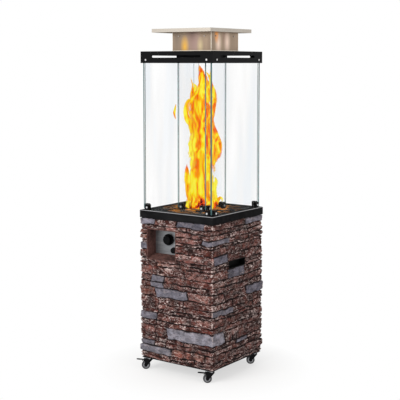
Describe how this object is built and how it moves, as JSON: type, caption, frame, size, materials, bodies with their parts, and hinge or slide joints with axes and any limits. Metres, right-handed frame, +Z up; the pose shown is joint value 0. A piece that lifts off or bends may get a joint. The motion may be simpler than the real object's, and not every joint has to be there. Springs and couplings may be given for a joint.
{
  "type": "propane patio heater",
  "caption": "Square patio heater: stacked-stone base on casters with gas bottle inside, glass flame tube in an outer glass case, black top frame, chimney and flat roof.",
  "frame": {"origin": "on the floor under the middle of the square body", "axes": "+Z up, -Y the side with the control recess, +X the heater's right side seen from above with the controls at the bottom"},
  "size_m": [0.4261, 0.42, 1.5401],
  "materials": {
    "black_enamel": "glossy black stove enamel",
    "black_plastic": "matt black moulded plastic",
    "bright_zinc": "bright plated steel",
    "brushed_plate": "brushed stainless sheet",
    "burner_steel": "heat-tinted stainless",
    "cast_aluminium": "as-cast aluminium",
    "cast_stone": "dry-cast stacked ledge stone, reddish brown with grey and tan stones",
    "cast_zinc": "grey painted zinc casting",
    "electrode_ceramic": "white glazed ceramic with a steel tip",
    "fork_steel": "black coated pressed steel",
    "hose_rubber": "black rubber gas hose",
    "lead_silicone": "red silicone ignition lead",
    "magnet_grey": "magnet catch in a plastic case",
    "moulded_liner": "moulded, smooth, reddish brown",
    "nut_plastic": "black moulded plastic",
    "pad_rubber": "black silicone rubber",
    "plated_steel": "dull zinc plate",
    "probe_copper": "copper tube and probe",
    "satin_black": "satin black powder coat",
    "stainless": "brushed stainless sheet, warm",
    "tank_paint": "pale grey cylinder paint",
    "tempered_glass": "clear tempered glass with green edges",
    "tyre_rubber": "dark grey rubber",
    "valve_brass": "turned brass",
    "wheel_plastic": "black moulded plastic"
  },
  "bodies": {
    "heater": {"base_plate": "satin_black", "burner_cap": "burner_steel", "burner_pan": "burner_steel", "caster_plates": "plated_steel", "caster_screws": "bright_zinc", "chimney": "stainless", "clamp_pads": "pad_rubber", "clamp_screws": "bright_zinc", "control_plate": "brushed_plate", "control_recess": "moulded_liner", "coupling_nut": "nut_plastic", "deck_tray": "black_enamel", "door_hinges": "plated_steel", "door_magnet": "magnet_grey", "flue_collar": "burner_steel", "gas_hose": "hose_rubber", "gas_tank": "tank_paint", "gas_tap": "cast_aluminium", "grip_left": "black_plastic", "grip_right": "black_plastic", "igniter_body": "black_plastic", "inner_clamps": "satin_black", "inner_glass": "tempered_glass", "mixer_tube": "valve_brass", "outer_clamps": "satin_black", "outer_glass_back": "tempered_glass", "outer_glass_front": "tempered_glass", "outer_glass_left": "tempered_glass", "outer_glass_right": "tempered_glass", "panel_screws": "bright_zinc", "regulator": "cast_zinc", "roof_plate": "stainless", "spark_electrode": "electrode_ceramic", "spark_lead": "lead_silicone", "stone_shell": "cast_stone", "supply_tube": "cast_aluminium", "tank_seat": "satin_black", "tank_valve": "valve_brass", "thermocouple": "probe_copper", "thermocouple_lead": "probe_copper", "tilt_switch": "black_plastic", "top_band": "black_enamel", "top_clips": "satin_black"},
    "tap_rotor": {"tap_rotor": "valve_brass"},
    "control_knob": {"control_knob": "black_plastic", "tap_spindle": "plated_steel"},
    "igniter_button": {"igniter_button": "black_plastic"},
    "rear_door": {"rear_door": "satin_black", "door_pull": "bright_zinc"},
    "handwheel": {"handwheel": "wheel_plastic"},
    "caster_fork_front_right": {"caster_fork_front_right": "fork_steel"},
    "caster_wheel_front_right": {"caster_wheel_front_right": "tyre_rubber"},
    "caster_fork_front_left": {"caster_fork_front_left": "fork_steel"},
    "caster_wheel_front_left": {"caster_wheel_front_left": "tyre_rubber"},
    "caster_fork_back_right": {"caster_fork_back_right": "fork_steel"},
    "caster_wheel_back_right": {"caster_wheel_back_right": "tyre_rubber"},
    "caster_fork_back_left": {"caster_fork_back_left": "fork_steel"},
    "caster_wheel_back_left": {"caster_wheel_back_left": "tyre_rubber"},
    "brake_lever_front_right": {"brake_lever_front_right": "fork_steel"},
    "brake_lever_front_left": {"brake_lever_front_left": "fork_steel"}
  },
  "joints": [
    {"name": "tap_turn", "type": "hinge", "parent": "heater", "child": "tap_rotor", "pos_m": [-0.08, -0.11, 0.602], "axis": [0, -1, 0], "range_deg": [0, 180]},
    {"name": "knob_press", "type": "slide", "parent": "tap_rotor", "child": "control_knob", "axis": [0, 1, 0], "range_m": [0, 0.004], "stiffness_N_per_m": 400, "springref_m": -0.008},
    {"name": "igniter_press", "type": "slide", "parent": "heater", "child": "igniter_button", "axis": [0, 1, 0], "range_m": [0, 0.004], "stiffness_N_per_m": 600, "springref_m": -0.008},
    {"name": "rear_door_swing", "type": "hinge", "parent": "heater", "child": "rear_door", "pos_m": [-0.16125, 0.203, 0.32], "axis": [0, 0, 1], "range_deg": [0, 110]},
    {"name": "handwheel_turn", "type": "hinge", "parent": "heater", "child": "handwheel", "pos_m": [0, 0, 0.47], "axis": [0, 0, 1], "range_deg": [0, 720]},
    {"name": "caster_swivel_front_right", "type": "hinge", "parent": "heater", "child": "caster_fork_front_right", "pos_m": [0.172, -0.172, 0.0475], "axis": [0, 0, 1], "continuous": true},
    {"name": "caster_roll_front_right", "type": "hinge", "parent": "caster_fork_front_right", "child": "caster_wheel_front_right", "pos_m": [0.15983, -0.18076, 0.0195], "axis": [-0.5842, 0.8116, 0], "continuous": true},
    {"name": "caster_swivel_front_left", "type": "hinge", "parent": "heater", "child": "caster_fork_front_left", "pos_m": [-0.172, -0.172, 0.0475], "axis": [0, 0, 1], "continuous": true},
    {"name": "caster_roll_front_left", "type": "hinge", "parent": "caster_fork_front_left", "child": "caster_wheel_front_left", "pos_m": [-0.18417, -0.18076, 0.0195], "axis": [-0.5842, 0.8116, 0], "continuous": true},
    {"name": "caster_swivel_back_right", "type": "hinge", "parent": "heater", "child": "caster_fork_back_right", "pos_m": [0.172, 0.172, 0.0475], "axis": [0, 0, 1], "continuous": true},
    {"name": "caster_roll_back_right", "type": "hinge", "parent": "caster_fork_back_right", "child": "caster_wheel_back_right", "pos_m": [0.15983, 0.16324, 0.0195], "axis": [-0.5842, 0.8116, 0], "continuous": true},
    {"name": "caster_swivel_back_left", "type": "hinge", "parent": "heater", "child": "caster_fork_back_left", "pos_m": [-0.172, 0.172, 0.0475], "axis": [0, 0, 1], "continuous": true},
    {"name": "caster_roll_back_left", "type": "hinge", "parent": "caster_fork_back_left", "child": "caster_wheel_back_left", "pos_m": [-0.18417, 0.16324, 0.0195], "axis": [-0.5842, 0.8116, 0], "continuous": true},
    {"name": "brake_press_front_right", "type": "hinge", "parent": "caster_fork_front_right", "child": "brake_lever_front_right", "pos_m": [0.15415, -0.18485, 0.0435], "axis": [0.5842, -0.8116, 0], "range_deg": [0, 15]},
    {"name": "brake_press_front_left", "type": "hinge", "parent": "caster_fork_front_left", "child": "brake_lever_front_left", "pos_m": [-0.18985, -0.18485, 0.0435], "axis": [0.5842, -0.8116, 0], "range_deg": [0, 15]}
  ]
}
